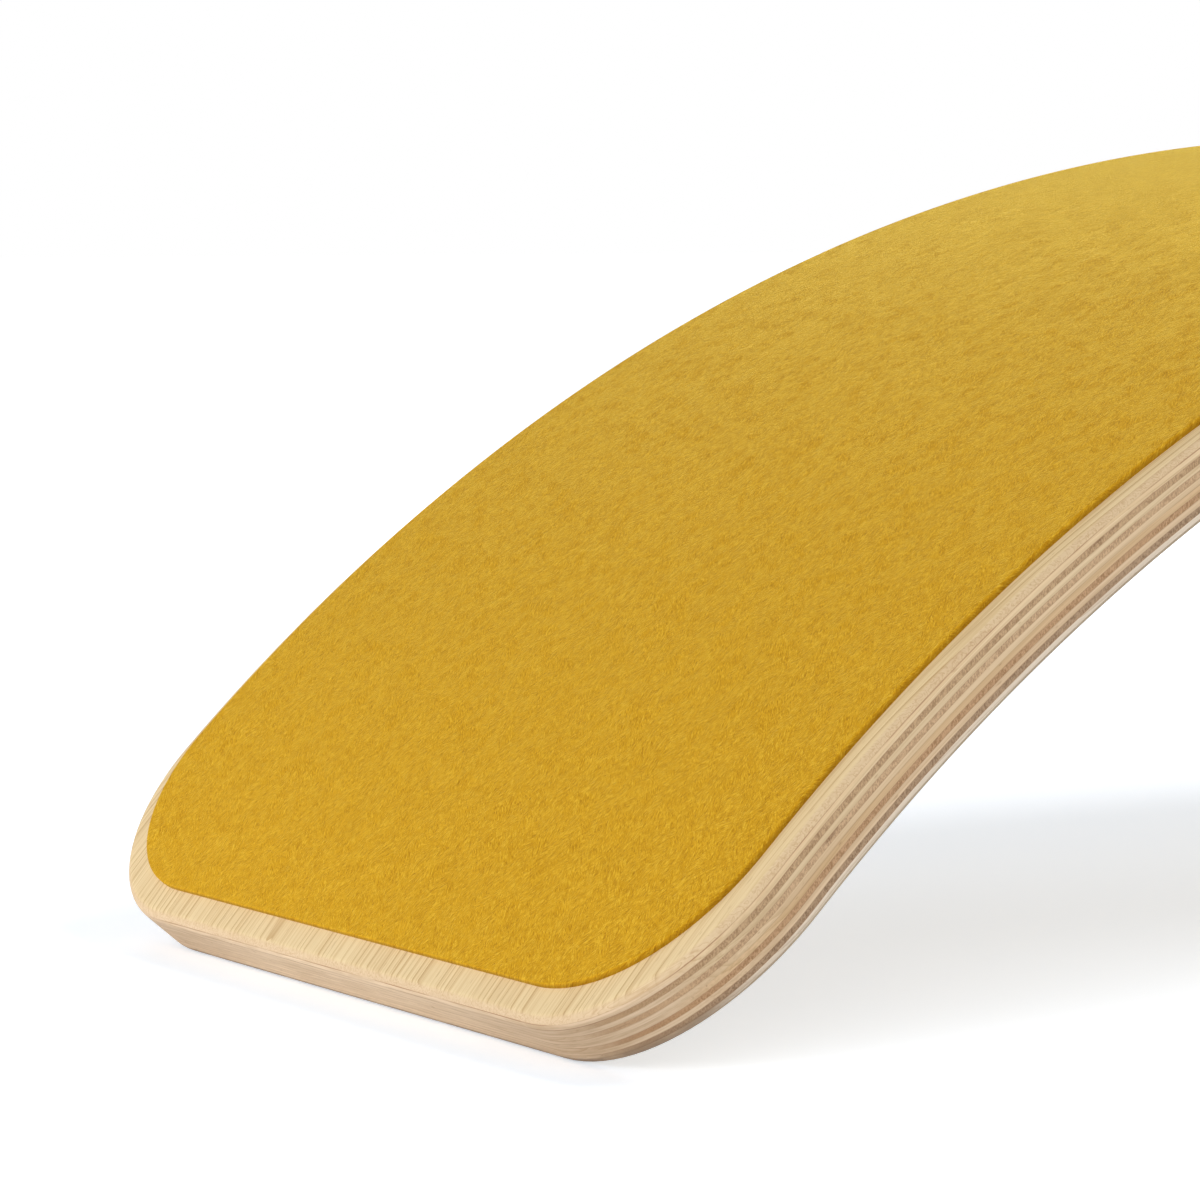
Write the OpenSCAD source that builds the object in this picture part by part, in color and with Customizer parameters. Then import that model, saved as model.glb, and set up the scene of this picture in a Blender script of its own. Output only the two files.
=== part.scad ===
// Curvy balance board: a bent plywood arch with a felt sheet on its upper face.
// X runs along the board, Y across it, Z up. The origin is on the floor, under the middle.

/* [Board] */
// Length of the wood, tip to tip, before its edges are rounded over
board_l = 915; // [700:1:1100]
// Width of the wood
board_w = 300; // [200:1:400]
// Bend radius of the upper wood face
bend_r = 598; // [520:1:900]
// Plan radius of the four corners
corner_r = 53; // [20:1:120]
// Round-over of the outer edges
edge_r = 3; // [1:0.1:6]

/* [Plies] */
// Thickness of one ply
ply_t = 1.5; // [1:0.1:2.5]

/* [Felt] */
// Thickness of the felt
felt_t = 1.5; // [0.8:0.1:4]
// Bare wood left along each side
felt_side_gap = 8; // [4:0.5:40]
// Bare wood left at each end
felt_end_gap = 9.5; // [4:0.5:60]
// Plan radius of the felt's corners
felt_corner_r = 48; // [15:1:110]

/* [Hidden] */
$fn = 360;

ply_count = 12;
board_t = ply_count * ply_t;
under_r = bend_r - board_t;

// Half of the angle that the board spans about the bend axis
half_angle = asin(board_l / 2 / bend_r);
felt_half_angle = half_angle - asin(felt_end_gap / bend_r);

// The lower end edges are rounded, and the roundest point of each stands on the floor
floor_angle = half_angle - asin(edge_r / (under_r + edge_r));
axis_z = edge_r - (under_r + edge_r) * cos(floor_angle);

// How far cuts run past what they cut
overrun = edge_r + ply_t;

// How far a blend's radius reaches past the faces that it joins, so that it cuts them cleanly
corner_lap = 0.05;
edge_lap = 0.02;

// Radii of the upper and the lower face of ply k, counted from the top
function ply_top(k) = bend_r - (k - 1) * ply_t;
function ply_base(k) = bend_r - k * ply_t;
function in_upper_round(k) = bend_r - ply_top(k) < edge_r;
function in_lower_round(k) = ply_base(k) - under_r < edge_r;

// Puts a shape drawn about the Z axis onto the bend axis, with angle 0 at the crown
module on_bend_axis() {
    translate([0, 0, axis_z]) rotate([90, 0, 0]) rotate([0, 0, 90]) children();
}

// Board section across the width, with its four edges rounded over
module rounded_section() {
    core_w = board_w - 2 * edge_r;
    translate([under_r, -core_w / 2]) square([board_t, core_w]);
    translate([under_r + edge_r, -board_w / 2]) square([board_t - 2 * edge_r, board_w]);
    for (r = [under_r + edge_r, bend_r - edge_r], side = [-1, 1])
        translate([r, side * core_w / 2]) circle(edge_r);
}

// Sheet bent about the axis: its section turned through the angle on both sides of the crown
module bent(angle) {
    rotate([0, 0, -angle]) rotate_extrude(angle = 2 * angle) children();
}

// What the plan radius takes off the four corners of a bent sheet, square to its ends
module corner_waste(angle, width, radius, outer_r) {
    reach = radius + overrun;
    for (end = [0, 1], side = [0, 1])
        mirror([0, end, 0]) mirror([0, 0, side]) rotate([0, 0, angle])
            translate([0, -radius, width / 2 - radius]) rotate([90, 0, 90])
                linear_extrude(outer_r + overrun) difference() {
                    square(reach);
                    circle(radius + corner_lap);
                }
}

// What the round-over takes off one end edge; turn is 1 on the upper edge and -1 on the lower
module end_edge_waste(face_r, turn) {
    centre_r = face_r - turn * edge_r;
    lean = asin(edge_r / centre_r);
    reach = edge_r + overrun;
    for (end = [0, 1])
        mirror([0, end, 0]) rotate([0, 0, half_angle - lean]) translate([centre_r, 0, -board_w / 2 - overrun])
            linear_extrude(board_w + 2 * overrun) difference() {
                polygon([
                    [0, 0],
                    [turn * reach, 0],
                    [turn * reach, reach],
                    [-reach * sin(lean), reach * cos(lean)]
                ]);
                circle(edge_r + edge_lap);
            }
}

// Plain section of ply k across the width
module ply_band(k) {
    translate([ply_base(k), -board_w / 2]) square([ply_t, board_w]);
}

// Ply k of the lay-up
module ply(k) {
    on_bend_axis() difference() {
        bent(half_angle)
            if (in_upper_round(k) || in_lower_round(k)) intersection() {
                ply_band(k);
                rounded_section();
            }
            else ply_band(k);
        corner_waste(half_angle, board_w, corner_r, bend_r);
        if (in_upper_round(k)) end_edge_waste(bend_r, 1);
        if (in_lower_round(k)) end_edge_waste(under_r, -1);
    }
}

module ply_01_face() { color("#e2cba0") ply(1); }
module ply_02_long() { color("#e0c8a4") ply(2); }
module ply_03_cross() { color("#a58769") ply(3); }
module ply_04_long() { color("#dec4a0") ply(4); }
module ply_05_cross() { color("#a98c6e") ply(5); }
module ply_06_long() { color("#dfc6a2") ply(6); }
module ply_07_long() { color("#cfae84") ply(7); }
module ply_08_cross() { color("#b98c69") ply(8); }
module ply_09_long() { color("#dec4a0") ply(9); }
module ply_10_cross() { color("#967a62") ply(10); }
module ply_11_long() { color("#e0c8a4") ply(11); }
module ply_12_face() { color("#e2cba0") ply(12); }

// Felt sheet on the upper face
module felt_cover() {
    felt_w = board_w - 2 * felt_side_gap;
    color("#cda32d") on_bend_axis() difference() {
        bent(felt_half_angle) translate([bend_r, -felt_w / 2]) square([felt_t, felt_w]);
        corner_waste(felt_half_angle, felt_w, felt_corner_r, bend_r + felt_t);
    }
}

ply_01_face();
ply_02_long();
ply_03_cross();
ply_04_long();
ply_05_cross();
ply_06_long();
ply_07_long();
ply_08_cross();
ply_09_long();
ply_10_cross();
ply_11_long();
ply_12_face();
felt_cover();
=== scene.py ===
"""Curvy balance board: a bent plywood arch with a felt sheet on its upper face."""
import math

import bpy
import numpy as np
from mathutils import Matrix, Vector, noise


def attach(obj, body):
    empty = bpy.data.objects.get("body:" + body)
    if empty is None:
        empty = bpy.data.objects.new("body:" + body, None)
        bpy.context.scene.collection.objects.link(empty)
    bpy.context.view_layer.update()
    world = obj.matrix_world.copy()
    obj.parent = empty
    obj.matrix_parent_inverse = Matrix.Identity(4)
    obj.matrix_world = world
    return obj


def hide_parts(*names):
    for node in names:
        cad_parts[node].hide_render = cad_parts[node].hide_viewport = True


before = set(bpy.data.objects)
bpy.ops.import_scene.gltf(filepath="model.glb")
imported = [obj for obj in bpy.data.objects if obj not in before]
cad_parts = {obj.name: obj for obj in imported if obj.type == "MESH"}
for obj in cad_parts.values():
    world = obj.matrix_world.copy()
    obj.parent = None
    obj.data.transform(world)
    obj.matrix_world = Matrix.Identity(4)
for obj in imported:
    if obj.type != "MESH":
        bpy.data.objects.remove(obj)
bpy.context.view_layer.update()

# Sizes of the board, in metres
MM = 0.001
BOARD_L = 915 * MM
BOARD_W = 300 * MM
BEND_R = 598 * MM
CORNER_R = 53 * MM
EDGE_R = 3 * MM
PLY_T = 1.5 * MM
PLY_COUNT = 12

# Sizes of the felt. It is wider than its solid by twice the spread, all of it on the far side
FELT_T = 1.5 * MM
FELT_SIDE_GAP = 8 * MM
FELT_END_GAP = 9.5 * MM
FELT_CORNER_R = 48 * MM
FELT_EDGE_R = 0.4 * MM
FELT_SPREAD = 0.5 * MM

# Nap of the felt: its height, how much of that is uneven, and how many rises fall on a metre
FELT_NAP = 0.3 * MM
NAP_UNEVEN = 0.1
NAP_RISES = 160.0

# Places that follow from the sizes
UNDER_R = BEND_R - PLY_COUNT * PLY_T
HALF_ANGLE = math.asin(BOARD_L / 2 / BEND_R)
FELT_HALF_ANGLE = HALF_ANGLE - math.asin(FELT_END_GAP / BEND_R)
FLOOR_ANGLE = HALF_ANGLE - math.asin(EDGE_R / (UNDER_R + EDGE_R))
AXIS_Z = EDGE_R - (UNDER_R + EDGE_R) * math.cos(FLOOR_ANGLE)

# How finely the sheets are meshed
CORNER_STEPS = 24
SIDE_STEPS = 240
ROUND_STEPS = 6
PLY_COLUMNS = 8
SUPPORT = 0.4 * MM
FELT_CELL = 1.6 * MM
SHARP_ANGLE = math.radians(35)
QUARTER_TURN = math.pi / 2


# Mesh making

def bend(angle, y, radius):
    """Points at an angle from the crown, a place across the board and a distance from the bend axis."""
    angle, y, radius = np.broadcast_arrays(angle, y, radius)
    return np.stack([radius * np.sin(angle), y, AXIS_Z + radius * np.cos(angle)], -1)


def plan_rows(radius, inset, end_angle, half_w, corner_r, side_steps):
    """Angle and half width of each row across a sheet with rounded corners, from tip to tip."""
    turn = np.linspace(0, QUARTER_TURN, CORNER_STEPS + 1)
    round_r = corner_r - inset
    from_end = corner_r - round_r * np.cos(turn)
    half = half_w - corner_r + round_r * np.sin(turn)
    angle = end_angle - np.arcsin(from_end / radius)
    side = np.linspace(-angle[-1], angle[-1], side_steps + 1)[1:-1]
    angles = np.concatenate([-angle, side, angle[::-1]])
    halves = np.concatenate([half, np.full(len(side), half_w - inset), half[::-1]])
    return angles, halves


def row_points(angles, halves, radius, shares):
    """Rows of points across the sheet: two on the outline, the rest inside a narrow support strip."""
    inner = np.maximum(halves - SUPPORT, halves / 2)
    across = np.concatenate([-halves[:, None], inner[:, None] * shares[None, :], halves[:, None]], 1)
    return bend(angles[:, None], across, radius)


def edge_loop(rows, columns):
    """Row and column of each point round the edge of a grid, in order."""
    first = [(0, j) for j in range(columns)]
    far_side = [(i, columns - 1) for i in range(1, rows - 1)]
    last = [(rows - 1, j) for j in reversed(range(columns))]
    near_side = [(i, 0) for i in reversed(range(1, rows - 1))]
    return np.array(first + far_side + last + near_side).T


def mesh_piece(name, points, faces):
    """Piece with a smooth mesh that keeps its sharp edges."""
    mesh = bpy.data.meshes.new(name)
    mesh.from_pydata(points.tolist(), [], faces.tolist())
    mesh.polygons.foreach_set("use_smooth", [True] * len(mesh.polygons))
    mesh.set_sharp_from_angle(angle=SHARP_ANGLE)
    mesh.update()
    piece = bpy.data.objects.new(name, mesh)
    bpy.context.collection.objects.link(piece)
    return piece


def bent_sheet(name, layers, end_angle, half_w, corner_r,
               side_steps=SIDE_STEPS, columns=PLY_COLUMNS, shape=None):
    """Closed sheet on the bend. Layers are (radius, inset) pairs from the upper face to the lower one."""
    shares = np.linspace(-1, 1, columns)
    grids = []
    for radius, inset in layers:
        angles, halves = plan_rows(radius, inset, end_angle, half_w, corner_r, side_steps)
        grids.append(row_points(angles, halves, radius, shares))
    if shape is not None:
        grids[0] = shape(grids[0])

    # The first and last layers are whole faces, and each one between them is a ring of edge points
    rows, cols = grids[0].shape[:2]
    loop_rows, loop_cols = edge_loop(rows, cols)
    index = np.arange(rows * cols).reshape(rows, cols)
    ring = index[loop_rows, loop_cols]
    points = [grids[0].reshape(-1, 3), grids[-1].reshape(-1, 3)]
    rings = [ring]
    count = 2 * rows * cols
    for grid in grids[1:-1]:
        points.append(grid[loop_rows, loop_cols])
        rings.append(np.arange(count, count + len(ring)))
        count += len(ring)
    rings.append(ring + rows * cols)

    quads = np.stack([index[:-1, :-1], index[1:, :-1], index[1:, 1:], index[:-1, 1:]], -1).reshape(-1, 4)
    faces = [quads, quads[:, ::-1] + rows * cols]
    for upper, lower in zip(rings[:-1], rings[1:]):
        faces.append(np.stack([upper, np.roll(upper, -1), np.roll(lower, -1), lower], -1))
    return mesh_piece(name, np.concatenate(points), np.concatenate(faces))


def round_inset(depth):
    """How far the round-over draws the edge in, at a depth below the upper or lower face."""
    if depth >= EDGE_R:
        return 0.0
    return EDGE_R - math.sqrt(EDGE_R ** 2 - (EDGE_R - depth) ** 2)


def ply_layers(k):
    """Radius and inset of each step down the edge of ply k, counted from the top."""
    top = BEND_R - (k - 1) * PLY_T
    in_lower_round = top - PLY_T - UNDER_R < EDGE_R
    layers = []
    for step in range(ROUND_STEPS + 1):
        turn = QUARTER_TURN * step / ROUND_STEPS
        down = math.sin(turn) if in_lower_round else 1 - math.cos(turn)
        radius = top - PLY_T * down
        depth = min(BEND_R - radius, radius - UNDER_R)
        layers.append((radius, round_inset(depth)))
    straight = layers[0][1] == 0 and layers[-1][1] == 0
    return [layers[0], layers[-1]] if straight else layers


def felt_layers():
    """Radius and inset of each step down the felt's soft edge, to the wood."""
    top = BEND_R + FELT_T + FELT_NAP
    layers = []
    for step in range(ROUND_STEPS + 1):
        turn = QUARTER_TURN * step / ROUND_STEPS
        layers.append((top - FELT_EDGE_R * (1 - math.cos(turn)), FELT_EDGE_R * (1 - math.sin(turn))))
    layers.append((BEND_R, 0.0))
    return layers


def uneven_nap(points):
    """The upper felt face with slight rises and dips, a few millimetres wide, and its outline kept."""
    flat = points.reshape(-1, 3)
    rise = np.array([noise.noise(Vector(p) * NAP_RISES) for p in flat]) * FELT_NAP * NAP_UNEVEN
    rise = rise.reshape(points.shape[:2])
    rise[[0, -1], :] = 0.0
    rise[:, [0, -1]] = 0.0
    away = flat - np.array([0.0, 0.0, AXIS_Z])
    away[:, 1] = 0.0
    away /= np.linalg.norm(away, axis=1, keepdims=True)
    return points + away.reshape(points.shape) * rise[:, :, None]


# Shader helpers

# Colour sockets of the Mix node
MIX_FIRST = 6
MIX_SECOND = 7
MIX_RESULT = 2


def colour(red, green, blue):
    """A colour as a screen shows it, 0 to 255, as the linear values that shaders take."""
    def linear(channel):
        """One channel, by the usual curve of a screen."""
        share = channel / 255
        return share / 12.92 if share <= 0.04045 else ((share + 0.055) / 1.055) ** 2.4
    return (linear(red), linear(green), linear(blue), 1.0)


def place(tree, kind, **settings):
    """New node of a kind, with its settings."""
    item = tree.nodes.new(kind)
    for key, value in settings.items():
        setattr(item, key, value)
    return item


def feed(tree, socket, value):
    """Links an output to a socket, or sets the socket's value."""
    if isinstance(value, bpy.types.NodeSocket):
        tree.links.new(value, socket)
    else:
        socket.default_value = value


def calc(tree, operation, first, second=0.0, third=0.0):
    """One step of arithmetic."""
    item = place(tree, "ShaderNodeMath", operation=operation)
    for socket, value in zip(item.inputs, (first, second, third)):
        feed(tree, socket, value)
    return item.outputs[0]


def between(tree, value, low, high, start=0.0, end=1.0):
    """Smooth step, from start where the value is low to end where it is high."""
    item = place(tree, "ShaderNodeMapRange", interpolation_type="SMOOTHSTEP")
    for socket, number in zip(item.inputs, (value, low, high, start, end)):
        feed(tree, socket, number)
    return item.outputs[0]


def blend_colours(tree, share, first, second, way="MIX"):
    """Two colours mixed by a share."""
    item = place(tree, "ShaderNodeMix", data_type="RGBA", blend_type=way)
    feed(tree, item.inputs[0], share)
    feed(tree, item.inputs[MIX_FIRST], first)
    feed(tree, item.inputs[MIX_SECOND], second)
    return item.outputs[MIX_RESULT]


def vector(tree, x, y, z):
    """Three values as one vector."""
    item = place(tree, "ShaderNodeCombineXYZ")
    for socket, value in zip(item.inputs, (x, y, z)):
        feed(tree, socket, value)
    return item.outputs[0]


def parts_of(tree, whole):
    """The three values of a vector."""
    item = place(tree, "ShaderNodeSeparateXYZ")
    tree.links.new(whole, item.inputs[0])
    return item.outputs


def cloud(tree, place_in, detail=2.0, rough=0.5, warp=0.0):
    """Soft noise, 0 to 1, at a place."""
    item = place(tree, "ShaderNodeTexNoise", noise_dimensions="3D")
    feed(tree, item.inputs["Vector"], place_in)
    item.inputs["Scale"].default_value = 1.0
    item.inputs["Detail"].default_value = detail
    item.inputs["Roughness"].default_value = rough
    item.inputs["Distortion"].default_value = warp
    return item.outputs[0]


def new_group(name, inputs, outputs):
    """Empty shader node group with float sockets."""
    tree = bpy.data.node_groups.new(name, "ShaderNodeTree")
    for label in inputs:
        tree.interface.new_socket(label, in_out="INPUT", socket_type="NodeSocketFloat")
    for label in outputs:
        tree.interface.new_socket(label, in_out="OUTPUT", socket_type="NodeSocketFloat")
    return tree, place(tree, "NodeGroupInput").outputs, place(tree, "NodeGroupOutput").inputs


def use(tree, group, **values):
    """Places a group in a tree and gives back its outputs."""
    item = place(tree, "ShaderNodeGroup", node_tree=group)
    for label, value in values.items():
        feed(tree, item.inputs[label], value)
    return item.outputs


def new_material(name):
    """Empty node material with its surface shader."""
    material = bpy.data.materials.new(name)
    material.use_nodes = True
    tree = material.node_tree
    return material, tree, tree.nodes["Principled BSDF"]


def raise_surface(tree, surface, height, distance, strength):
    """Fine relief from a height, over a distance in metres."""
    item = place(tree, "ShaderNodeBump")
    item.inputs["Strength"].default_value = strength
    item.inputs["Distance"].default_value = distance
    feed(tree, item.inputs["Height"], height)
    tree.links.new(item.outputs[0], surface.inputs["Normal"])


# Places on the unrolled board: along it, across it and below its upper wood face

def make_unroll():
    """Where a point lies on the flat board, and how far its surface faces an end or a side."""
    tree, _, out = new_group("unrolled place", [], ["Along", "Across", "Depth", "End", "Side"])
    x, y, z = parts_of(tree, place(tree, "ShaderNodeTexCoord").outputs["Object"])
    facing_x, facing_y, facing_z = parts_of(tree, place(tree, "ShaderNodeNewGeometry").outputs["Normal"])
    rise = calc(tree, "SUBTRACT", z, AXIS_Z)
    angle = calc(tree, "ARCTAN2", x, rise)
    radius = calc(tree, "SQRT", calc(tree, "MULTIPLY_ADD", rise, rise, calc(tree, "MULTIPLY", x, x)))
    lengthwise = calc(tree, "SUBTRACT", calc(tree, "MULTIPLY", facing_x, rise),
                      calc(tree, "MULTIPLY", facing_z, x))
    feed(tree, out["Along"], calc(tree, "MULTIPLY", angle, BEND_R))
    feed(tree, out["Across"], y)
    feed(tree, out["Depth"], calc(tree, "SUBTRACT", BEND_R, radius))
    feed(tree, out["End"], calc(tree, "ABSOLUTE", calc(tree, "DIVIDE", lengthwise, radius)))
    feed(tree, out["Side"], calc(tree, "ABSOLUTE", facing_y))
    return tree


UNROLL = make_unroll()


# Figure of the wood

# Beech figure: repeats on a metre along the grain, across it and in depth
BAND_PITCH = (9.0, 190.0, 420.0)
WANDER_PITCH = (4.0, 60.0, 90.0)
FADE_PITCH = (10.0, 110.0, 150.0)
FIBRE_PITCH = (22.0, 1300.0, 1700.0)
FLECK_PITCH = (230.0, 1500.0, 900.0)

# Growth rings on a metre across the grain and in depth, how many rings they wander, how thin they are
RINGS_ACROSS = 320.0
RINGS_DEEP = 330.0
RING_WANDER = 8.0
RING_THIN = 6.0


def make_beech_figure():
    """Figure of beech in the solid, by places along the grain, across it and in depth."""
    labels = ["Bands", "Lines", "Fibre", "Flecks"]
    tree, given, out = new_group("beech figure", ["Along", "Across", "Depth", "Seed"], labels)
    along, across, depth, seed = (given[n] for n in ("Along", "Across", "Depth", "Seed"))

    def at(pitch):
        """Place in the wood, in repeats of a pitch."""
        return vector(tree, calc(tree, "MULTIPLY_ADD", along, pitch[0], seed),
                      calc(tree, "MULTIPLY", across, pitch[1]),
                      calc(tree, "MULTIPLY_ADD", depth, pitch[2], seed))

    feed(tree, out["Bands"], cloud(tree, at(BAND_PITCH), 3.0, 0.55))
    growth = calc(tree, "MULTIPLY_ADD", cloud(tree, at(WANDER_PITCH), 2.0, 0.45), RING_WANDER, seed)
    growth = calc(tree, "MULTIPLY_ADD", depth, RINGS_DEEP, growth)
    growth = calc(tree, "MULTIPLY_ADD", across, RINGS_ACROSS, growth)
    latewood = calc(tree, "POWER", calc(tree, "FRACT", growth), RING_THIN)
    fade = between(tree, cloud(tree, at(FADE_PITCH), 1.0), 0.3, 0.56)
    feed(tree, out["Lines"], calc(tree, "MULTIPLY", latewood, fade))
    feed(tree, out["Fibre"], cloud(tree, at(FIBRE_PITCH), 2.0, 0.6))
    feed(tree, out["Flecks"], between(tree, cloud(tree, at(FLECK_PITCH), 1.0), 0.68, 0.78))
    return tree


BEECH = make_beech_figure()

# End grain: repeats on a metre along the sawn edge and in depth
CROSS_MARK_PITCH = (2400.0, 1500.0)
LONG_MARK_PITCH = (70.0, 2200.0)
PATCH_PITCH = (240.0, 420.0)
SPOT_PITCH = (75.0, 420.0)
INWARD_PITCH = 30.0
MARK_SLANT = 0.4


def make_end_grain():
    """End grain: fine pores and marks, broader patches and a few dark open spots."""
    asked = ["Length", "Depth", "Inward", "Seed", "Pitch", "Layers"]
    tree, given, out = new_group("end grain", asked, ["Marks", "Patches", "Spots"])
    length, depth, inward, seed = (given[n] for n in ("Length", "Depth", "Inward", "Seed"))
    slant = calc(tree, "MULTIPLY_ADD", depth, MARK_SLANT, length)
    deep = calc(tree, "MULTIPLY_ADD", inward, INWARD_PITCH, seed)

    def at(along, pitch, layers):
        """Place on the sawn edge, in repeats of a pitch and of layers in depth."""
        return vector(tree, calc(tree, "MULTIPLY", along, pitch),
                      calc(tree, "MULTIPLY", depth, layers), deep)

    feed(tree, out["Marks"], cloud(tree, at(slant, given["Pitch"], given["Layers"]), 2.0, 0.6))
    feed(tree, out["Patches"], cloud(tree, at(slant, *PATCH_PITCH), 2.0, 0.5))
    feed(tree, out["Spots"], between(tree, cloud(tree, at(length, *SPOT_PITCH), 2.0), 0.68, 0.76))
    return tree


END_GRAIN = make_end_grain()

# Glue line: repeats on a metre of its coming and going
GLUE_WANDER = 40.0


def make_glue_line():
    """Thin dark line where two plies meet, coming and going along the board."""
    tree, given, out = new_group("glue line", ["Depth", "Along", "Across"], ["Line"])
    share = calc(tree, "DIVIDE", given["Depth"], PLY_T)
    off = calc(tree, "ABSOLUTE", calc(tree, "SUBTRACT", share, calc(tree, "ROUND", share)))
    line = between(tree, off, 0.03, 0.12, 1.0, 0.0)

    # No line on the two outer faces
    inside = calc(tree, "COMPARE", share, PLY_COUNT / 2, PLY_COUNT / 2 - 0.5)
    line = calc(tree, "MULTIPLY", line, inside)
    spot = vector(tree, calc(tree, "MULTIPLY", given["Along"], GLUE_WANDER),
                  calc(tree, "MULTIPLY", given["Across"], GLUE_WANDER), share)
    wander = between(tree, cloud(tree, spot, 3.0), 0.3, 0.65)
    feed(tree, out["Line"], calc(tree, "MULTIPLY", line, wander))
    return tree


GLUE_LINE = make_glue_line()

# Leaf marks: repeats on a metre along the edge and in depth, their slant, rings and thinness
LEAF_PITCH = 420.0
LEAF_LAYERS = 600.0
LEAF_SLANT = 1.3
LEAF_RINGS = 7.0
LEAF_THIN = 3.0


def make_leaf_marks():
    """Short slanting growth marks, where a round-over cuts through a face ply."""
    tree, given, out = new_group("leaf marks", ["Length", "Depth", "Seed"], ["Marks"])
    slant = calc(tree, "MULTIPLY_ADD", given["Depth"], LEAF_SLANT, given["Length"])
    down = calc(tree, "MULTIPLY", given["Depth"], LEAF_LAYERS)
    spot = vector(tree, calc(tree, "MULTIPLY", slant, LEAF_PITCH), down, given["Seed"])
    rings = calc(tree, "FRACT", calc(tree, "MULTIPLY", cloud(tree, spot, 2.0, 0.55), LEAF_RINGS))
    feed(tree, out["Marks"], calc(tree, "POWER", rings, LEAF_THIN))
    return tree


LEAF_MARKS = make_leaf_marks()

# How far from the middle of an end the corner darkening begins, and where it is full: partly slant-cut
# fibres, partly painted shade
SLANT_SHADE_FROM = 30 * MM
SLANT_SHADE_FULL = 115 * MM


def make_corner_cut_and_shade():
    """How far an end of the board darkens towards its corners: partly the fibres cut at a slant there,
    partly painted shade.
    """
    tree, given, out = new_group("corner cut and painted shade", ["Across", "End"], ["Share"])
    towards = between(tree, calc(tree, "ABSOLUTE", given["Across"]), SLANT_SHADE_FROM, SLANT_SHADE_FULL)
    feed(tree, out["Share"], calc(tree, "MULTIPLY", towards, given["End"]))
    return tree


CORNER_CUT_AND_SHADE = make_corner_cut_and_shade()

# Depth at which the painted contact shade begins, where it is full, and its patches on a metre
CONTACT_SHADE_FROM = 14.2 * MM
CONTACT_SHADE_FULL = 15.2 * MM
CONTACT_SHADE_PITCH = 90.0


def make_painted_contact_shade():
    """Painted contact shade: a dark patchy line along the lower end edges, which stand on the floor."""
    tree, given, out = new_group("painted contact shade", ["Depth", "End", "Across"], ["Wear"])
    low = between(tree, given["Depth"], CONTACT_SHADE_FROM, CONTACT_SHADE_FULL)
    ends = between(tree, given["End"], 0.3, 0.7)
    spot = vector(tree, calc(tree, "MULTIPLY", given["Across"], CONTACT_SHADE_PITCH), 0.0, 4.0)
    patchy = calc(tree, "MULTIPLY", ends, between(tree, cloud(tree, spot, 3.0), 0.3, 0.6, 0.55, 1.0))
    feed(tree, out["Wear"], calc(tree, "MULTIPLY", low, patchy))
    return tree


PAINTED_CONTACT_SHADE = make_painted_contact_shade()


# Finish of the plies

FLECK = colour(158, 116, 78)
GLUE = colour(160, 118, 84)
END_LIGHT = colour(231, 206, 175)
END_DARK = colour(208, 181, 148)
LINE = colour(168, 128, 76)
SPOT = colour(120, 86, 58)
# Tone of the slant-cut corners, darkened further as painted shade
SLANT_CUT_AND_SHADE = colour(233, 229, 225)
# Colour of the painted contact shade at the lower end edges
CONTACT_SHADE_COLOUR = colour(132, 108, 86)

# How strongly the painted contact shade darkens; then the gloss and relief of the wood
CONTACT_SHADE_STRENGTH = 0.75
WOOD_GLOSS = 0.25
WOOD_RELIEF = 0.06 * MM
WOOD_RELIEF_STRENGTH = 0.4


def lying_grain(tree, wood, light, dark, bands, lines, flecks):
    """Colour where the grain lies in the surface: broad bands, fibres, growth lines and flecks."""
    tone = blend_colours(tree, between(tree, wood["Bands"], 0.3, 0.68, bands, 0.0), light, dark)
    tone = blend_colours(tree, between(tree, wood["Fibre"], 0.42, 0.68, 0.0, 0.5), tone, dark)
    tone = blend_colours(tree, calc(tree, "MULTIPLY", wood["Lines"], lines), tone, LINE)
    return blend_colours(tree, calc(tree, "MULTIPLY", wood["Flecks"], flecks), tone, FLECK)


def sawn_grain(tree, cut, marks, light, dark, spots):
    """Colour where the fibres are sawn across: fine marks, paler patches and open spots."""
    tone = blend_colours(tree, marks, dark, light)
    tone = blend_colours(tree, between(tree, cut["Patches"], 0.45, 0.75, 0.0, 0.5), tone, light)
    return blend_colours(tree, calc(tree, "MULTIPLY", cut["Spots"], spots), tone, SPOT)


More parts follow.
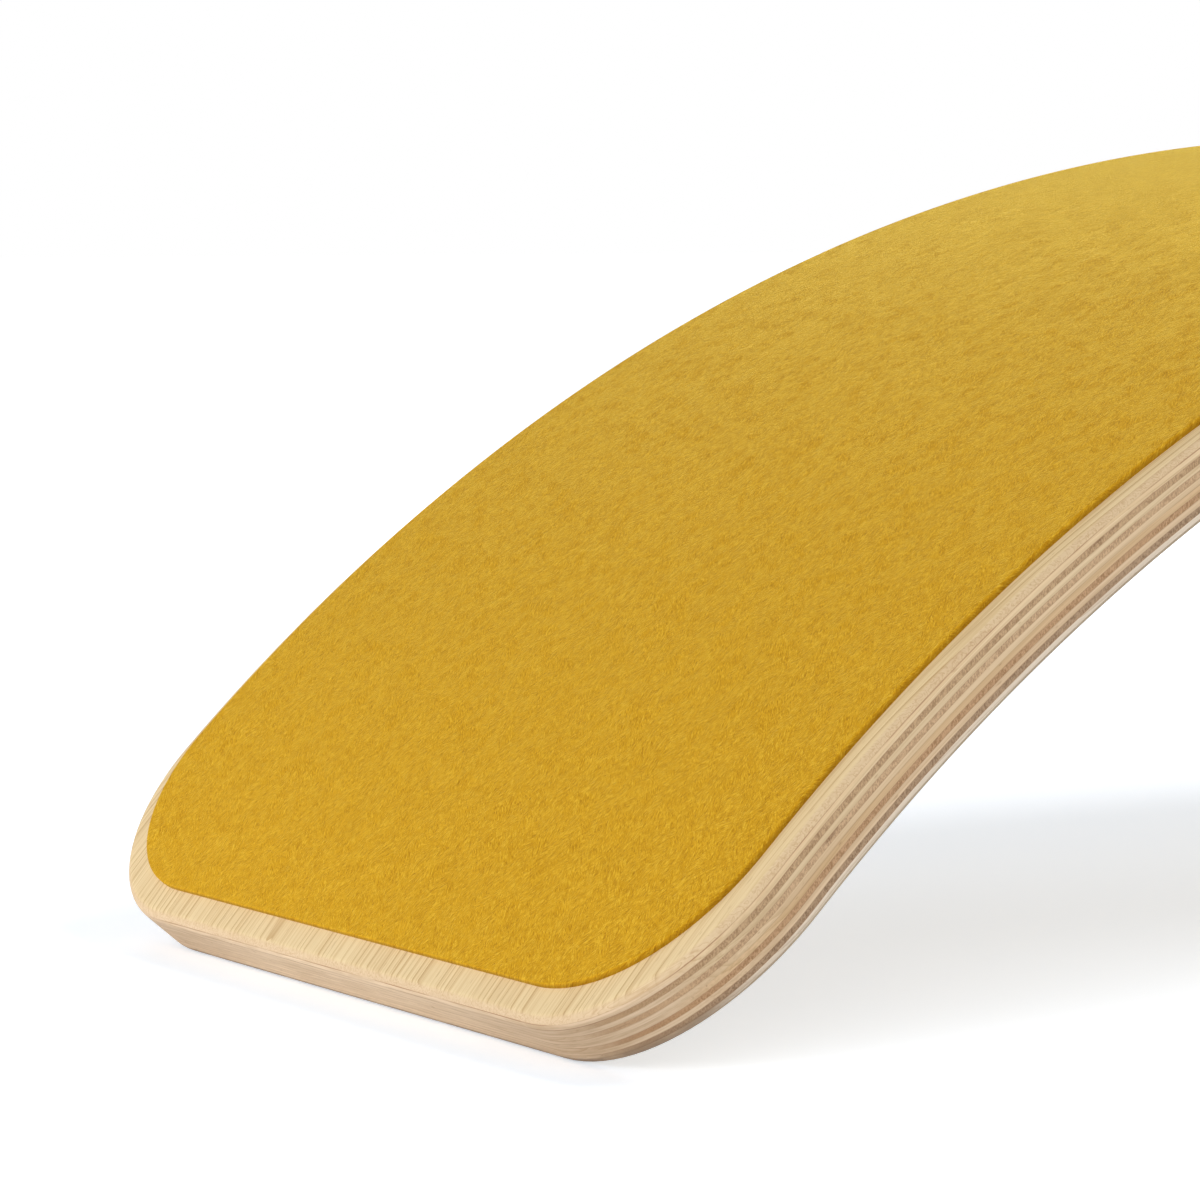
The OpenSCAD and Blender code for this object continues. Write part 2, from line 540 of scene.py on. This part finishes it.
def ply_material(name, cross, light, dark, seed, bands=0.6, lines=0.4, flecks=0.35, seam=0.5,
                 edge=None, slanted_and_shaded=True, contact_shaded=False):
    """Beech ply with its grain along the board or across it. A face ply has colours for its round-over."""
    material, tree, surface = new_material(name)
    spot = use(tree, UNROLL)
    along, across = (spot["Across"], spot["Along"]) if cross else (spot["Along"], spot["Across"])
    wood = use(tree, BEECH, Along=along, Across=across, Depth=spot["Depth"], Seed=seed)
    pitch, layers = CROSS_MARK_PITCH if cross else LONG_MARK_PITCH
    cut = use(tree, END_GRAIN, Length=across, Depth=spot["Depth"], Inward=along, Seed=seed,
              Pitch=pitch, Layers=layers)
    marks = between(tree, cut["Marks"], 0.34, 0.66)

    # The given colours are those of the long edges, where a cross ply is sawn across its fibres
    if cross:
        sawn = between(tree, spot["Side"], 0.15, 0.6)
        drawn_out = between(tree, spot["Side"], 0.55, 0.97, 0.3, 1.0)
        marks = calc(tree, "MULTIPLY_ADD", calc(tree, "SUBTRACT", marks, 0.5), drawn_out, 0.5)
        lying = lying_grain(tree, wood, END_LIGHT, END_DARK, bands, lines, flecks)
        end = sawn_grain(tree, cut, marks, light, dark, spots=0.5)
    else:
        sawn = between(tree, spot["End"], 0.4, 0.8)
        lying = lying_grain(tree, wood, light, dark, bands, lines, flecks)
        end = sawn_grain(tree, cut, marks, END_LIGHT, END_DARK, spots=0.2)
    tone = blend_colours(tree, sawn, lying, end)

    if edge:
        length = calc(tree, "ADD", spot["Along"], spot["Across"])
        leaf = use(tree, LEAF_MARKS, Length=length, Depth=spot["Depth"], Seed=seed)
        rounded = between(tree, calc(tree, "MAXIMUM", spot["Side"], spot["End"]), 0.1, 0.5, 0.0, 0.8)
        tone = blend_colours(tree, rounded, tone, blend_colours(tree, leaf["Marks"], *edge))
    joint = use(tree, GLUE_LINE, Depth=spot["Depth"], Along=spot["Along"], Across=spot["Across"])
    tone = blend_colours(tree, calc(tree, "MULTIPLY", joint["Line"], seam), tone, GLUE)
    # Ends darken towards their corners: partly slant-cut fibres, partly painted shade
    if slanted_and_shaded:
        slanting = use(tree, CORNER_CUT_AND_SHADE, Across=spot["Across"], End=spot["End"])
        tone = blend_colours(tree, slanting["Share"], tone, SLANT_CUT_AND_SHADE, "MULTIPLY")
    # Painted contact shade along the lower end edges, where they stand on the floor
    if contact_shaded:
        contact_shade = use(tree, PAINTED_CONTACT_SHADE, Depth=spot["Depth"], End=spot["End"], Across=spot["Across"])
        tone = blend_colours(tree, calc(tree, "MULTIPLY", contact_shade["Wear"], CONTACT_SHADE_STRENGTH), tone, CONTACT_SHADE_COLOUR)

    feed(tree, surface.inputs["Base Color"], tone)
    feed(tree, surface.inputs["Roughness"], between(tree, wood["Fibre"], 0.2, 0.8, 0.58, 0.7))
    surface.inputs["Specular IOR Level"].default_value = WOOD_GLOSS
    grain = calc(tree, "ADD", calc(tree, "MULTIPLY", wood["Fibre"], calc(tree, "SUBTRACT", 1.0, sawn)),
                 calc(tree, "MULTIPLY", cut["Marks"], sawn))
    raise_surface(tree, surface, grain, WOOD_RELIEF, WOOD_RELIEF_STRENGTH)
    return material


# Finish of the felt

FELT_DEEP = colour(195, 145, 22)
FELT_BODY = colour(204, 154, 28)
FELT_BRIGHT = colour(223, 180, 52)
FELT_GAPS = colour(166, 115, 12)
# Colour of the painted shade at the felt's foot, then the tint of its sheen
FELT_FOOT_SHADE = colour(120, 78, 14)
FELT_SHEEN = colour(255, 230, 113)

FELT_GLOSS = 0.1
FELT_ROUGHNESS = 0.95
SHEEN_ROUGHNESS = 0.21
FELT_RELIEF = 0.17 * MM
FELT_RELIEF_STRENGTH = 0.7

# Heights above the wood at which the painted shade at the felt's foot begins, and where it is darkest
FOOT_SHADE_FROM = 1.8 * MM
FOOT_SHADE_FULL = 0.3 * MM

# Mottle of the wool: repeats on a metre along the board and across it
MOTTLE_ALONG = 260.0
MOTTLE_ACROSS = 330.0


def make_felt_fibres():
    """Matted wool: tufts of short fibres, each tuft lying its own way about along the board."""
    tree, given, out = new_group("felt fibres", ["Along", "Across"], ["Fibres", "Mottle"])
    flat = vector(tree, given["Along"], given["Across"], 0.0)

    def tufts(size, spread, along, across, seed):
        """Fibres in tufts of a size, each turned by up to the spread, with so many fibres on a metre."""
        scaled = place(tree, "ShaderNodeVectorMath", operation="SCALE")
        feed(tree, scaled.inputs[0], flat)
        scaled.inputs["Scale"].default_value = 1 / size
        cells = place(tree, "ShaderNodeTexVoronoi", voronoi_dimensions="2D", feature="F1")
        feed(tree, cells.inputs["Vector"], scaled.outputs[0])
        cells.inputs["Scale"].default_value = 1.0
        chance = parts_of(tree, cells.outputs["Color"])
        local = place(tree, "ShaderNodeVectorMath", operation="SUBTRACT")
        feed(tree, local.inputs[0], scaled.outputs[0])
        feed(tree, local.inputs[1], cells.outputs["Position"])
        turned = place(tree, "ShaderNodeVectorRotate", rotation_type="Z_AXIS")
        feed(tree, turned.inputs["Vector"], local.outputs[0])
        feed(tree, turned.inputs["Angle"], between(tree, chance[0], 0.0, 1.0, -spread, spread))
        own = parts_of(tree, turned.outputs[0])
        shift = calc(tree, "MULTIPLY_ADD", chance[1], 40.0, seed)
        spot = vector(tree, calc(tree, "MULTIPLY", own[0], size * along),
                      calc(tree, "MULTIPLY", own[1], size * across), shift)
        return cloud(tree, spot, 2.0, 0.6, 0.2)

    coarse = tufts(size=5.4 * MM, spread=0.75, along=480.0, across=2500.0, seed=2.0)
    fine = tufts(size=3.6 * MM, spread=1.0, along=700.0, across=3200.0, seed=7.0)
    feed(tree, out["Fibres"], calc(tree, "MULTIPLY_ADD", fine, 0.5, calc(tree, "MULTIPLY", coarse, 0.5)))
    patch = vector(tree, calc(tree, "MULTIPLY", given["Along"], MOTTLE_ALONG),
                   calc(tree, "MULTIPLY", given["Across"], MOTTLE_ACROSS), 3.3)
    feed(tree, out["Mottle"], cloud(tree, patch, 3.0, 0.6))
    return tree


FELT_FIBRES = make_felt_fibres()


def felt_material():
    """Mustard wool felt with a short nap. Its fibres run on down the side, and painted shade darkens its
    edge low down, by the wood.
    """
    material, tree, surface = new_material("mustard wool felt")
    spot = use(tree, UNROLL)
    down_side = calc(tree, "SUBTRACT", spot["Across"], spot["Depth"])
    wool = use(tree, FELT_FIBRES, Along=spot["Along"], Across=down_side)
    body = between(tree, wool["Mottle"], 0.3, 0.7)
    bright = between(tree, wool["Fibres"], 0.52, 0.62, 0.0, 0.95)
    gaps = between(tree, wool["Fibres"], 0.48, 0.38, 0.0, 0.85)
    tone = blend_colours(tree, body, FELT_DEEP, FELT_BODY)
    tone = blend_colours(tree, bright, tone, FELT_BRIGHT)
    tone = blend_colours(tree, gaps, tone, FELT_GAPS)
    # Painted shade at the foot of the felt's edge, by the wood, strongest where the edge faces a side or an
    # end
    low = between(tree, spot["Depth"], -FOOT_SHADE_FROM, -FOOT_SHADE_FULL)
    turned = calc(tree, "MAXIMUM", spot["Side"], spot["End"])
    foot_shade = calc(tree, "MULTIPLY", low, calc(tree, "MULTIPLY_ADD", turned, 0.38, 0.1))
    tone = blend_colours(tree, foot_shade, tone, FELT_FOOT_SHADE)
    feed(tree, surface.inputs["Base Color"], tone)
    surface.inputs["Roughness"].default_value = FELT_ROUGHNESS
    surface.inputs["Specular IOR Level"].default_value = FELT_GLOSS
    surface.inputs["Sheen Weight"].default_value = 1.0
    surface.inputs["Sheen Roughness"].default_value = SHEEN_ROUGHNESS
    surface.inputs["Sheen Tint"].default_value = FELT_SHEEN
    relief = calc(tree, "MULTIPLY_ADD", wool["Fibres"], 3.0, calc(tree, "MULTIPLY", wool["Mottle"], 0.3))
    raise_surface(tree, surface, relief, FELT_RELIEF, FELT_RELIEF_STRENGTH)
    return material


# Pieces

PLY_FINISHES = {
    "ply_01_face": ply_material(
        "upper face ply", cross=False, light=colour(223, 200, 156), dark=colour(195, 163, 116), seed=0.0,
        bands=0.15, lines=0.9, seam=0.9, slanted_and_shaded=False,
        edge=(colour(210, 184, 149), colour(186, 152, 113))),
    "ply_02_long": ply_material(
        "ply 2", cross=False, light=colour(233, 208, 169), dark=colour(205, 174, 133), seed=11.0,
        seam=0.9),
    "ply_03_cross": ply_material(
        "ply 3", cross=True, light=colour(203, 170, 131), dark=colour(163, 130, 95), seed=3.0),
    "ply_04_long": ply_material(
        "ply 4", cross=False, light=colour(230, 205, 166), dark=colour(200, 170, 130), seed=23.0),
    "ply_05_cross": ply_material(
        "ply 5", cross=True, light=colour(212, 178, 140), dark=colour(175, 141, 106), seed=7.0),
    "ply_06_long": ply_material(
        "ply 6", cross=False, light=colour(229, 202, 164), dark=colour(202, 171, 133), seed=37.0),
    "ply_07_long": ply_material(
        "ply 7", cross=False, light=colour(225, 193, 151), dark=colour(193, 158, 115), seed=41.0,
        flecks=0.6),
    "ply_08_cross": ply_material(
        "ply 8", cross=True, light=colour(200, 161, 122), dark=colour(161, 123, 86), seed=13.0),
    "ply_09_long": ply_material(
        "ply 9", cross=False, light=colour(228, 200, 164), dark=colour(198, 167, 132), seed=53.0),
    "ply_10_cross": ply_material(
        "ply 10", cross=True, light=colour(182, 152, 121), dark=colour(140, 111, 84), seed=17.0,
        contact_shaded=True),
    # Ply 11 is pale wood, lightened further as painted light from the floor on the lower round-over
    "ply_11_long": ply_material(
        "ply 11", cross=False, light=colour(245, 228, 205), dark=colour(226, 207, 183), seed=67.0,
        contact_shaded=True),
    # The lower face ply's round-over colours are darkened as painted shade under the board's lower edge
    "ply_12_face": ply_material(
        "lower face ply", cross=False, light=colour(219, 195, 152), dark=colour(191, 159, 113), seed=71.0,
        bands=0.15, lines=0.9, contact_shaded=True,
        edge=(colour(186, 168, 146), colour(160, 140, 116))),
}


def settle(piece, node, material):
    """Gives a piece its finish and puts it in the place of its solid."""
    piece.data.materials.append(material)
    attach(piece, "root")
    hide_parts(node)


for number, (node, finish) in enumerate(PLY_FINISHES.items(), 1):
    sheet = bent_sheet(node + "_sheet", ply_layers(number), HALF_ANGLE, BOARD_W / 2, CORNER_R)
    settle(sheet, node, finish)

felt_half_w = BOARD_W / 2 - FELT_SIDE_GAP + FELT_SPREAD
felt_length = 2 * FELT_HALF_ANGLE * (BEND_R + FELT_T / 2)
felt = bent_sheet("felt_sheet", felt_layers(), FELT_HALF_ANGLE, felt_half_w, FELT_CORNER_R,
                  side_steps=int(felt_length / FELT_CELL), columns=int(2 * felt_half_w / FELT_CELL),
                  shape=uneven_nap)
felt.data.transform(Matrix.Translation((0.0, FELT_SPREAD, 0.0)))
settle(felt, "felt_cover", felt_material())


# Floor, light and camera

FLOOR_REACH = 30.0
FLOOR_DROP = 0.2 * MM
FLOOR_COLOUR = (0.80, 0.83, 0.865, 1)
FLOOR_GLOW = (0.88, 0.93, 0.995, 1)
WORLD_COLOUR = (1, 1, 1, 1)
WORLD_LIGHT = 0.3


def seen_itself(tree):
    """One for what the camera sees, also in a gloss or through glass, and zero for light that is cast."""
    path = place(tree, "ShaderNodeLightPath")
    seen = calc(tree, "ADD", path.outputs["Is Camera Ray"], path.outputs["Is Glossy Ray"])
    return calc(tree, "ADD", seen, path.outputs["Is Transmission Ray"])


def make_floor():
    """White floor that keeps the board's shadow, glows to white further off and is clear from below."""
    mesh = bpy.data.meshes.new("floor")
    corners = [(x * FLOOR_REACH, y * FLOOR_REACH, 0) for x, y in ((-1, -1), (1, -1), (1, 1), (-1, 1))]
    mesh.from_pydata(corners, [], [(0, 1, 2, 3)])
    floor = bpy.data.objects.new("floor", mesh)
    floor.location.z = -FLOOR_DROP
    bpy.context.collection.objects.link(floor)
    material, tree, surface = new_material("white floor")
    surface.inputs["Base Color"].default_value = FLOOR_COLOUR
    surface.inputs["Roughness"].default_value = 0.9
    surface.inputs["Specular IOR Level"].default_value = 0.0
    surface.inputs["Emission Color"].default_value = FLOOR_GLOW
    away = place(tree, "ShaderNodeVectorMath", operation="LENGTH")
    tree.links.new(place(tree, "ShaderNodeTexCoord").outputs["Object"], away.inputs[0])
    glow = between(tree, away.outputs["Value"], low=0.7, high=2.2, start=0.5, end=0.95)
    feed(tree, surface.inputs["Emission Strength"], calc(tree, "MULTIPLY", seen_itself(tree), glow))
    below = place(tree, "ShaderNodeNewGeometry").outputs["Backfacing"]
    feed(tree, surface.inputs["Alpha"], calc(tree, "SUBTRACT", 1.0, below))
    floor.data.materials.append(material)


def make_world():
    """White surroundings that cast only a little light."""
    world = bpy.data.worlds.new("studio")
    world.use_nodes = True
    tree = world.node_tree
    surface = tree.nodes["Background"]
    surface.inputs["Color"].default_value = WORLD_COLOUR
    strength = between(tree, seen_itself(tree), low=0.0, high=1.0, start=WORLD_LIGHT, end=1.0)
    feed(tree, surface.inputs["Strength"], strength)
    bpy.context.scene.world = world


def make_lamp(name, stand, aim, size, power):
    """Round soft lamp that stands at a point and is aimed at another, with its power in watts."""
    data = bpy.data.lights.new(name, "AREA")
    data.shape = "DISK"
    data.size = size
    data.energy = power
    lamp = bpy.data.objects.new(name, data)
    lamp.location = stand
    lamp.rotation_euler = (Vector(aim) - Vector(stand)).to_track_quat("-Z", "Y").to_euler()
    bpy.context.collection.objects.link(lamp)


def make_camera():
    """Camera at the photograph's view: low, from the left and in front, with a long lens."""
    azimuth = math.radians(-31.89)
    elevation = math.radians(4.634)
    roll = -0.0035
    distance = 1.195
    target = Vector((-0.3747, 0.0, 0.0995))
    back = Vector((math.sin(azimuth) * math.cos(elevation), -math.cos(azimuth) * math.cos(elevation),
                   math.sin(elevation)))
    right = Vector((math.cos(azimuth), math.sin(azimuth), 0.0))
    up = back.cross(right)
    right, up = right * math.cos(roll) + up * math.sin(roll), up * math.cos(roll) - right * math.sin(roll)
    data = bpy.data.cameras.new("camera")
    data.sensor_width = 36.0
    data.lens = 137.1
    data.clip_start = 0.01
    camera = bpy.data.objects.new("camera", data)
    turn = Matrix((right, up, back)).transposed().to_4x4()
    camera.matrix_world = Matrix.Translation(target + back * distance) @ turn
    bpy.context.collection.objects.link(camera)
    bpy.context.scene.camera = camera


make_floor()
make_world()
make_lamp("left window", stand=(-1.8, -0.42, 0.42), aim=(-0.3, 0.0, 0.1), size=0.9, power=15.6)
make_lamp("low left card", stand=(-0.85, 0.28, 0.08), aim=(-0.44, 0.06, 0.06), size=0.14, power=0.65)
make_lamp("right window", stand=(1.5, -0.9, 2.2), aim=(0.0, 0.0, 0.2), size=1.5, power=41.0)
make_lamp("front fill", stand=(0.2, -2.4, 0.7), aim=(-0.1, 0.0, 0.1), size=1.3, power=9.2)
make_lamp("back", stand=(0.6, 1.8, 1.0), aim=(0.0, 0.0, 0.15), size=1.2, power=12.0)
make_camera()
bpy.context.scene.view_settings.view_transform = "Standard"
